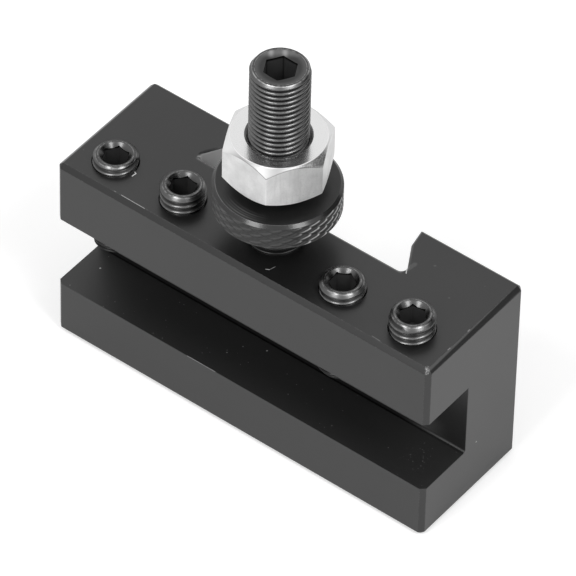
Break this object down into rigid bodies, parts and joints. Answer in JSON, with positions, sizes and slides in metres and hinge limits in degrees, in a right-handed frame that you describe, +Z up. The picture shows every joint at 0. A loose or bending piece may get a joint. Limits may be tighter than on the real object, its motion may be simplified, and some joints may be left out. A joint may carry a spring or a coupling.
{
  "type": "quick change tool holder",
  "caption": "Steel block with an open tool slot, a dovetail back, clamp screws and a height stud with knurled nut and lock nut.",
  "frame": {"origin": "on the face that the block stands on, midway along the block and midway between its front and back faces", "axes": "+X along the block, +Y from the tool slot back to the dovetail, +Z up the stud"},
  "size_m": [0.075, 0.0262, 0.0746],
  "materials": {
    "black_oxide_steel": "satin",
    "black_threaded_steel": "satin",
    "black_knurled_steel": "satin",
    "bright_plated_steel": "satin"
  },
  "bodies": {
    "holder": {"holder_body": "black_oxide_steel", "height_stud": "black_threaded_steel"},
    "thumb_nut": {"thumb_nut": "black_knurled_steel"},
    "lock_nut": {"lock_nut": "bright_plated_steel"},
    "clamp_screw_1": {"clamp_screw_1": "black_threaded_steel"},
    "clamp_screw_2": {"clamp_screw_2": "black_threaded_steel"},
    "clamp_screw_3": {"clamp_screw_3": "black_threaded_steel"},
    "clamp_screw_4": {"clamp_screw_4": "black_threaded_steel"}
  },
  "joints": [
    {"name": "thumb_nut_travel", "type": "slide", "parent": "holder", "child": "thumb_nut", "axis": [0, 0, 1], "range_m": [-0.0067, 0.007]},
    {"name": "lock_nut_travel", "type": "slide", "parent": "thumb_nut", "child": "lock_nut", "axis": [0, 0, 1], "range_m": [-0.0023, 0.007]},
    {"name": "clamp_screw_1_travel", "type": "slide", "parent": "holder", "child": "clamp_screw_1", "axis": [0, 0, 1], "range_m": [-0.00855, 0.0146]},
    {"name": "clamp_screw_2_travel", "type": "slide", "parent": "holder", "child": "clamp_screw_2", "axis": [0, 0, 1], "range_m": [-0.0103, 0.01285]},
    {"name": "clamp_screw_3_travel", "type": "slide", "parent": "holder", "child": "clamp_screw_3", "axis": [0, 0, 1], "range_m": [-0.0089, 0.01425]},
    {"name": "clamp_screw_4_travel", "type": "slide", "parent": "holder", "child": "clamp_screw_4", "axis": [0, 0, 1], "range_m": [-0.0103, 0.01285]}
  ]
}
